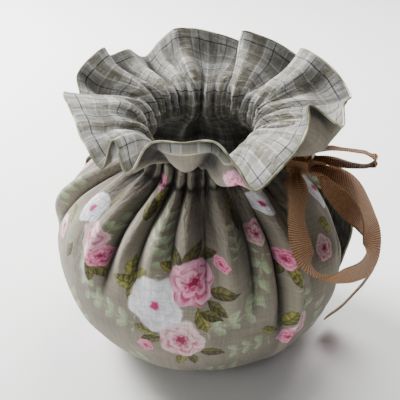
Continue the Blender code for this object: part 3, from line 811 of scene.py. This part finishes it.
# The print, laid from first to last: a kind of motif, then for each how far round the cloth and up it,
# its size and its turn
MOTIFS = (
    ("mint sprig", (403, 90, 13, -70), (424, 77, 14, 165), (414, 128, 11, 60), (446, 133, 13, 80),
     (452, 116, 12, 100), (426, 40, 13, 20), (491, 80, 14, 15), (510, 99, 14, 250), (498, 126, 11, 90),
     (504, 60, 13, 190), (487, 36, 13, 10), (546, 120, 13, 60), (540, 84, 12, -60), (500, 168, 13, 130),
     (390, 62, 13, 120), (562, 60, 13, 100)),
    ("olive leaf", (434, 103, 8, 95), (440, 100, 8, 50), (432, 97, 8, 160), (437, 92, 8, -100)),
    ("dark leaf", (470, 117, 9, 60), (461, 113, 9, 115), (479, 114, 8, 20)),
    ("olive leaf", (455, 108, 6, 140)),
    ("dark leaf", (487, 96, 8, 5), (484, 88, 7, -30)),
    ("olive leaf", (476, 82, 8, -70)),
    ("dark leaf", (481, 84, 7, -20)),
    ("olive leaf", (444, 72, 7, 170)),
    ("dark leaf", (447, 66, 7, 200)),
    ("olive leaf", (463, 52, 7, -110)),
    ("dark leaf", (470, 54, 7, -75), (481, 60, 8, -10)),
    ("olive leaf", (413, 97, 8, -40)),
    ("dark leaf", (407, 96, 7, -95)),
    ("olive leaf", (398, 138, 7, 80), (433, 149, 9, 75)),
    ("dark leaf", (430, 142, 8, 100)),
    ("olive leaf", (501, 144, 9, 85)),
    ("dark leaf", (503, 135, 8, -80)),
    ("olive leaf", (531, 99, 7, -80)),
    ("dark leaf", (524, 101, 6, -130)),
    ("olive leaf", (516, 68, 7, 160), (527, 74, 7, 60), (400, 207, 9, 160), (424, 196, 8, -40)),
    ("dark leaf", (382, 96, 7, 60)),
    ("olive leaf", (574, 112, 8, 150)),
    ("bud", (442, 60, 5, 30), (488, 111, 5, 60), (426, 159, 6, 100)),
    ("blush rose", (515, 123, 9, 200)),
    ("white rose", (387, 126, 12, 20)),
    ("blush rose", (402, 112, 12, 80)),
    ("bud", (410, 104, 7, 0)),
    ("blush rose", (464, 68, 15, -15)),
    ("white rose", (450, 88, 17, 40)),
    ("pink rose", (470, 101, 14, 10)),
    ("white rose", (529, 142, 8, 60)),
    ("bud", (528, 108, 6, 120)),
    ("blush rose", (536, 64, 11, 30)),
    ("bud", (528, 62, 6, 120)),
    ("blush rose", (567, 101, 8, 10)),
    ("pink rose", (497, 205, 12, 100)),
    ("white rose", (413, 206, 13, 70)),
    ("pink rose", (571, 175, 13, 30), (575, 38, 13, 70)),
    ("white rose", (559, 28, 12, 10)),
)

NUDGE = 4.0  # how far the print's edges wander, at the most
WEAVE_PITCH = 1.1
CREASE_DEPTH = 2.2  # of the creases too fine for the mesh
CHANNEL_MIDDLE = 164.0  # up the cloth
CREASES_FADE = (45.0, 8.0)  # from so far off the channel's middle to so near, the fine creases deepen
CHECK_REPEAT = 37.0
CHECK_EASE = 0.15  # half the soft step from one stripe to the next
CHECK_STRIPES = (
    # from, to, yarn
    (0.0, 0.6, "#0B0E16"),
    (0.6, 4.5, "#A3A39C"),
    (4.5, 5.5, "#CFCFCC"),
    (5.5, 13.0, "#6C6757"),
    (13.0, 13.9, "#C9C7C2"),
    (13.9, 18.5, "#9B9A92"),
    (18.5, 19.1, "#10131C"),
    (19.1, 23.2, "#B2B2AE"),
    (23.2, 24.0, "#DDD8CE"),
    (24.0, 30.6, "#807D70"),
    (30.6, 31.4, "#DEDAD2"),
    (31.4, 37.0, "#A5A39C"),
)
LINEN = "#8B8474"
STITCHING = "#B9B49B"
# the white of the slub flecks' painted highlights
SLUB_HIGHLIGHT = "#D6D5D2"
WORN_EDGE = ("#75725A", "#C6C2A6")
# the tan ribbon's ribs: painted shade in their grooves and painted light on their crests
TAN_RIB_LIGHT_AND_SHADE = ("#5C3F28", "#B28253")


def slubby(add, cloth, shade, strength):
    """Slubby yarns running both ways, thick and thin, over a plain colour."""
    total = None
    for stretch in ((0.9, 0.035, 1.0), (0.035, 0.9, 1.0)):
        along_yarn = add("VectorMath MULTIPLY", cloth, stretch)
        yarn = add("TexNoise", {"Vector": along_yarn, "Scale": 1.0, "Detail": 2.0}, noise_dimensions="2D")
        total = yarn if total is None else add("Math", total, yarn)
    tone = add("MapRange", total, 0.65, 1.35, 1.0 - strength, 1.0 + strength * 0.6)
    return add("VectorMath MULTIPLY", shade, tone)


def crumple(add, cloth):
    """Creases too fine for the mesh, drawn out up the cloth, from 0 to 1."""
    stretched = add("VectorMath MULTIPLY", cloth, (1.0, 0.5, 1.0))
    return add("TexNoise", {"Vector": stretched, "Scale": 0.28, "Detail": 3.0, "Roughness": 0.6},
               noise_dimensions="2D")


def cloth_surface(add, cloth, shader, shade, roughness):
    """Gives cloth its colour, its faint nap, and its weave over creases that are deepest at the channel.

    Plain weave: warp and weft rise in turn. Its pitch is drawn a little coarse, so that it shows.
    """
    fill(shader, {"Base Color": shade, "Roughness": roughness, "Sheen Weight": 0.12, "Sheen Roughness": 0.5})
    split = add("SeparateXYZ", cloth).node.outputs
    waves = [add("Math SINE", add("Math MULTIPLY", split[axis], 2 * math.pi / WEAVE_PITCH)) for axis in "XY"]
    weave = add("Math MULTIPLY", *waves)
    creases = crumple(add, cloth)
    near = add("Math ABSOLUTE", add("Math SUBTRACT", split["Y"], CHANNEL_MIDDLE))
    near = add("MapRange", near, *CREASES_FADE, 0.3)
    creases = add("Math MULTIPLY", creases, near)
    first = add("Bump", {"Strength": 1.0, "Distance": CREASE_DEPTH * MM, "Height": creases})
    second = add("Bump", {"Strength": 0.6, "Distance": 0.1 * MM, "Height": weave, "Normal": first})
    fill(shader, {"Normal": second})


def painted_crease_shade(add, shade, depth):
    """Painted shade: the colour darkened where the cloth is folded in or lies in the frill's shade, and
    lighter on its ridges, by the piece's own crease attribute.
    """
    crease = add("Attribute", attribute_name="crease", out="Fac")
    tone = add("MapRange", crease, -1.0, 1.0, 0.95, 0.8 - depth)
    return add("VectorMath SCALE", {0: shade, "Scale": tone})


def check_colour(add, cloth):
    """A woven check: the same stripes in warp and weft, which darken each other where they cross."""
    stops = [(at / CHECK_REPEAT, colour(yarn)) for start, end, yarn in CHECK_STRIPES
             for at in (start + CHECK_EASE, end - CHECK_EASE)]
    split = add("SeparateXYZ", cloth).node.outputs
    ways = []
    for axis, start in (("X", 6.0), ("Y", 11.0)):
        share = add("Math ADD", split[axis], start)
        share = add("Math DIVIDE", share, CHECK_REPEAT)
        ways.append(add("ValToRGB", add("Math FRACT", share)))
        elements = ways[-1].node.color_ramp.elements
        elements.remove(elements[-1])
        for number, (at, yarn) in enumerate(stops):
            stop = elements.new(at) if number else elements[0]
            stop.position = at
            stop.color = yarn
    return add("Gamma", add("VectorMath MULTIPLY", *ways), 0.5)


def turned_over(add, cloth, printed):
    """The lining's hem, turned over the front stand's rim and sewn down with a pale line under it."""
    split = add("SeparateXYZ", cloth).node.outputs
    left, right = [float(cloth_along(place)) for place in TURNED]
    inward = add("Math SUBTRACT", split["X"], (left + right) / 2)
    inward = add("Math ABSOLUTE", inward)
    half = (right - left) / 2
    drop = add("MapRange", inward, half, half - TURNED_END, -1.0, TURNED_DEPTH, **SMOOTH)
    over = add("Math ADD", split["Y"], drop)
    over = add("Math SUBTRACT", over, CLOTH_LENGTH)
    band = add("MapRange", over, -0.2, 0.2)
    shown = add("Mix", {0: band, 6: printed, 7: check_colour(add, cloth)}, data_type="RGBA")
    line = add("Math ABSOLUTE", over)
    line = add("MapRange", line, 0.7, 0.4)
    return add("Mix", {0: line, 6: shown, 7: colour(STITCHING)}, data_type="RGBA")


def printed_linen():
    """Matt cotton printed with roses over a greige linen-look ground."""
    material, add, shader = new_material("printed linen-look cotton")
    cloth = cloth_place(add)
    # brush-drawn edges: the whole print is nudged to and fro by a millimetre or so
    nudge = add("TexNoise", {"Vector": cloth, "Scale": 0.13, "Detail": 2.5}, out="Color",
                noise_dimensions="2D")
    nudge = add("VectorMath SUBTRACT", nudge, (0.5, 0.5, 0.5))
    wobble = add("VectorMath MULTIPLY_ADD", nudge, (NUDGE, NUDGE, 0.0), cloth)
    rose = rose_group()
    groups = {"rose": rose, "bud": rose, "leaf": leaf_group(), "sprig": sprig_group()}
    laid = add("RGB")
    laid.default_value = colour(LINEN)
    for motif, along, up, size, turn in [(run[0], *place) for run in MOTIFS for place in run[1:]]:
        inputs = {"Under": laid, "Cloth": wobble, "Centre": (along, up, 0.0), "Size": size,
                  "Turn": -math.radians(turn)}
        inks = dict(enumerate(map(colour, INKS[motif]), start=1))
        laid = add("Group", inputs | inks, node_tree=groups[motif.split()[-1]])
    woven = slubby(add, cloth, turned_over(add, cloth, laid), 0.2)
    cloth_surface(add, cloth, shader, painted_crease_shade(add, woven, 0.70), 0.92)
    return material


def checked_cotton():
    """Soft matt cotton woven in a grey and taupe check with thin dark lines."""
    material, add, shader = new_material("checked woven cotton")
    cloth = cloth_place(add)
    woven = slubby(add, cloth, check_colour(add, cloth), 0.22)
    # white slub flecks, thick places in the yarns, painted as highlights where they catch the light
    slub_highlights = add("VectorMath MULTIPLY", cloth, (0.25, 0.9, 1.0))
    slub_highlights = add("TexNoise", {"Vector": slub_highlights, "Scale": 0.8, "Detail": 3.0}, noise_dimensions="2D")
    slub_highlights = add("MapRange", slub_highlights, 0.58, 0.72, 0.0, 0.45)
    woven = add("Mix", {0: slub_highlights, 6: woven, 7: colour(SLUB_HIGHLIGHT)}, data_type="RGBA")
    # painted light and shade of a soft crumple all over: painted light on its crests and painted shade in its
    # hollows
    crumple_light_and_shade = add("MapRange", crumple(add, cloth), 0.36, 0.66, 0.78, 1.22)
    woven = add("VectorMath SCALE", {0: woven, "Scale": crumple_light_and_shade})
    cloth_surface(add, cloth, shader, painted_crease_shade(add, woven, 0.45), 0.95)
    return material


def edge_linen():
    """The printed cloth where it is turned over along an edge, plain and a little worn pale."""
    material, add, shader = new_material("turned linen-look edge")
    place = add("TexCoord", out="Object")
    scaled = add("VectorMath SCALE", {0: place, "Scale": 1000.0})
    patches = add("TexNoise", {"Vector": scaled, "Scale": 0.09, "Detail": 2.0})
    tone = add("MapRange", patches, 0.45, 0.6)
    shade = add("Mix", {0: tone, 6: colour(WORN_EDGE[0]), 7: colour(WORN_EDGE[1])}, data_type="RGBA")
    fill(shader, {"Base Color": shade, "Roughness": 0.9})
    return material


def grosgrain():
    """Tan polyester grosgrain: fine ribs across, painted light on their crests and painted shade between
    them, satin rather than shiny.
    """
    material, add, shader = new_material("tan grosgrain ribbon")
    cloth = cloth_place(add)
    split = add("SeparateXYZ", cloth).node.outputs
    wave = add("Math MULTIPLY", split["X"], 2 * math.pi / RIB)
    rib = add("MapRange", add("Math SINE", wave), -1.0, 1.0)
    grain = add("TexNoise", {"Vector": cloth, "Scale": 0.5, "Detail": 3.0}, noise_dimensions="2D")
    grain = add("MapRange", grain, 0.3, 0.7, 0.85, 1.12)
    # the ribs in painted light and shade: dark in the grooves, light on the crests
    shade = add("Mix", {0: rib, 6: colour(TAN_RIB_LIGHT_AND_SHADE[0]), 7: colour(TAN_RIB_LIGHT_AND_SHADE[1])}, data_type="RGBA")
    shade = add("VectorMath MULTIPLY", shade, grain)
    bump = add("Bump", {"Strength": 0.8, "Distance": 0.35 * MM, "Height": rib})
    fill(shader, {"Base Color": shade, "Roughness": 0.65, "Normal": bump})
    return material


# ---- camera and ribbon

def aim(made, spot, target):
    """Puts a camera or a lamp at a spot, turned to a target."""
    made.location = spot
    made.rotation_euler = (target - spot).to_track_quat("-Z", "Y").to_euler()


def add_camera():
    """A camera above the front, a little round towards the handle's side."""
    data = bpy.data.cameras.new("camera")
    data.sensor_width = 36.0
    data.lens = 69.84
    data.clip_start = 0.01
    camera = in_scene("camera", data)
    aim(camera, Vector((104.026, -362.782, 305.088)) * MM, Vector((-4.0748, 10.0027, 76.5356)) * MM)
    bpy.context.scene.camera = camera


def knot_mesh():
    """The knot: a lump of ribbon with one turn of it pulled tight round the waist."""
    bm = bmesh.new()
    bmesh.ops.create_cube(bm, size=1.0)
    bmesh.ops.subdivide_edges(bm, edges=bm.edges[:], cuts=17, use_grid_fill=True)
    for vert in bm.verts:
        # partly a ball
        vert.co = vert.co.lerp(vert.co.normalized() * 0.5, 0.42)
        waist = math.exp(-((vert.co.y / 0.26) ** 4))
        crease = 0.025 * math.cos(vert.co.y * 42.0)
        swell = 1.0 + 0.06 * waist + crease * (1 - 0.5 * waist)
        vert.co.x *= swell * (0.93 + 0.07 * waist)
        vert.co.z *= swell * (0.90 + 0.10 * waist)
    bmesh.ops.scale(bm, vec=KNOT_SIZE, verts=bm.verts[:])
    bmesh.ops.translate(bm, vec=KNOT_CENTRE, verts=bm.verts[:])
    bmesh.ops.scale(bm, vec=(MM, MM, MM), verts=bm.verts[:])
    layer = bm.loops.layers.uv.new("cloth")
    for face in bm.faces:
        face.smooth = True
        for corner in face.loops:
            place = corner.vert.co / MM - Vector(KNOT_CENTRE)
            turn = math.atan2(place.z, place.x) / math.tau
            corner[layer].uv = (turn * KNOT_ROUND * MM, place.y * MM)
    return made_mesh("knot", bm)


def add_ribbon():
    """The bow: the knot, the lead and the short loop, then the long loop and the tail, each a piece of its
    own.
    """
    tan = grosgrain()
    short = [add_piece("knot", knot_mesh(), tan, "grosgrain_ribbon", "ribbon_knot")]
    for name, route in (("lead", LEAD), ("short_loop", SHORT_LOOP)):
        mesh = ribbon_mesh(name, route, False)[0]
        short.append(add_piece(name, mesh, tan, "grosgrain_ribbon", "ribbon_" + name))
    for name, route, far_end, pieces in (("long_loop", LONG_LOOP, "knot", short), ("tail", TAIL, "bare", [])):
        mesh, line, length = ribbon_mesh(name, route, far_end == "bare")
        strand = add_piece(name, mesh, tan, "grosgrain_ribbon", "ribbon_" + name)


# ---- the cloth

def panel_places(first, last, columns):
    """The places of a panel's columns, drawn in a hair at each side seam."""
    places = first + (last - first) * np.arange(columns + 1) / columns
    hair = SEAM_HAIR * len(RIM) / RIM_LENGTH
    return np.clip(places, first + hair, last - hair)


def cloth_rows(body_step, frill_step):
    """Heights up the cloth of a panel's rows, closer together about the neck and frill."""
    change = BODY_LENGTH - FINE_ROWS
    body = np.arange(0.0, change, body_step)
    frill = np.linspace(change, CLOTH_LENGTH, round((CLOTH_LENGTH - change) / frill_step) + 1)
    return np.concatenate([body, frill])


def edge_distance(place, along, first, last):
    """How far a point lies in from the panel's rim and side edges."""
    sides = np.minimum(cloth_along(place) - cloth_along(first), cloth_along(last) - cloth_along(place))
    return np.minimum(sides, CLOTH_LENGTH - along)


def around(points, reach):
    """Each point's surroundings averaged, up to a reach in grid steps, on a grid of points."""
    for axis in (0, 1):
        padded = np.pad(points, [(reach + 1, reach) if a == axis else (0, 0) for a in range(3)], mode="edge")
        total = np.cumsum(padded, axis=axis)
        size = points.shape[axis]
        ahead = np.take(total, np.arange(2 * reach + 1, 2 * reach + 1 + size), axis=axis)
        points = (ahead - np.take(total, np.arange(size), axis=axis)) / (2 * reach + 1)
    return points


def add_layer(name, first, last, side, material, slot, columns, steps):
    """One layer of a panel, side +1 being the printed outside and -1 the checked lining."""
    places = panel_places(first, last, columns)
    heights = cloth_rows(*steps)

    def place_points(column, row, layer):
        place, along = places[column], heights[row]
        inward = edge_distance(place, along, first, last)
        far = EDGE_FAR + (LAYER_FAR - EDGE_FAR) * fade(inward, 0.0, EDGE_TAPER)
        far = far - stitched_in(along) * fade(inward, 0.0, STITCH_ENDS) * (layer > 0.5)
        if side > 0:
            far = far + TURNED_THICKNESS * turned_hem(place, along)
        depth = np.where(layer > 0.5, far, LAYER_NEAR) * side + wrinkles(place, along)
        return cloth_point(place, along) + cloth_outward(place, along) * depth[:, None]

    def place_uvs(column, row):
        return np.column_stack([cloth_along(places[column]), heights[row]])

    column, row = np.meshgrid(np.arange(columns + 1), np.arange(len(heights)), indexing="ij")
    face = place_points(column.ravel(), row.ravel(), np.ones(column.size)).reshape(*column.shape, 3)
    outward = cloth_outward(places[column.ravel()], heights[row.ravel()]).reshape(face.shape)
    # painted shade: the frill's shade on the outside and the shade in each crease, lighter on the ridges,
    # stored for the materials
    depth = frill_shade(places[column], heights[row]) * (side > 0)
    for reach, outside, inside in CREASE_SHADE_SCALES:
        sunk = ((around(face, reach) - face) * outward).sum(axis=2) * side
        depth = depth + sunk / (outside if side > 0 else inside)
    mesh = sheet_mesh(name, columns, len(heights) - 1, place_points, place_uvs, np.clip(depth, -1, 1))
    return add_piece(name, mesh, material, slot, name)


def add_edge(name, first, last, material):
    """The rolled edge where a panel is turned over and sewn to its lining, round its sides and rim."""
    places = panel_places(first, last, EDGE_COLUMNS)
    side = np.arange(EDGE_FOOT, CLOTH_LENGTH, EDGE_STEP)
    place = np.concatenate([np.full(len(side), places[0]), places, np.full(len(side), places[-1])])
    along = np.concatenate([side, np.full(len(places), CLOTH_LENGTH), side[::-1]])
    points = cloth_point(place, along) + cloth_outward(place, along) * wrinkles(place, along)[:, None]
    data = bpy.data.curves.new(name, "CURVE")
    data.dimensions = "3D"
    data.bevel_depth = EDGE_ROLL * MM
    data.bevel_resolution = 2
    data.use_fill_caps = True
    spline = data.splines.new("POLY")
    spline.points.add(len(points) - 1)
    spline.points.foreach_set("co", np.column_stack([points * MM, np.ones(len(points))]).ravel())
    return add_piece(name, data, material, "printed_cloth")


def add_cloth():
    """Both panels: the outside, its lining, and the edge where they are sewn together."""
    linen, check, edge = printed_linen(), checked_cotton(), edge_linen()
    for which, first, last in (("back", 0, SPOUT_SEAM), ("front", SPOUT_SEAM, HANDLE_SEAM)):
        outer = add_layer("outer_" + which, first, last, 1, linen, "printed_cloth", 280, (1.6, 1.15))
        lining = add_layer("lining_" + which, first, last, -1, check, "checked_cloth", 240, (2.6, 1.25))
        roll = add_edge("edge_" + which, first, last, edge)


# ---- floor and light

def add_stage():
    """The floor and the light, which are no part of the cosy."""
    bm = bmesh.new()
    bmesh.ops.create_grid(bm, x_segments=1, y_segments=1, size=3.0)
    floor = in_scene("floor", made_mesh("floor", bm))
    material, _, shader = new_material("pale matt floor")
    fill(shader, {"Base Color": colour("#F7F6F4"), "Roughness": 0.9})
    floor.data.materials.append(material)

    world = bpy.data.worlds.new("studio")
    world.use_nodes = True
    fill(world.node_tree.nodes["Background"], {"Color": colour("#F6F8FF"), "Strength": 0.14})
    bpy.context.scene.world = world
    for name, spot, size, power in (
        ("window", (-0.80, 0.35, 0.60), 0.45, 40.0),
        ("sky", (0.10, 0.55, 1.00), 0.7, 18.0),
        ("room", (-0.6, -0.9, 0.45), 0.7, 3.5),
    ):
        data = bpy.data.lights.new(name, "AREA")
        data.size = size
        data.energy = power
        aim(in_scene(name, data), Vector(spot), Vector((0.0, 0.0, 0.08)))


def main():
    add_camera()
    add_ribbon()
    add_cloth()
    add_stage()


main()
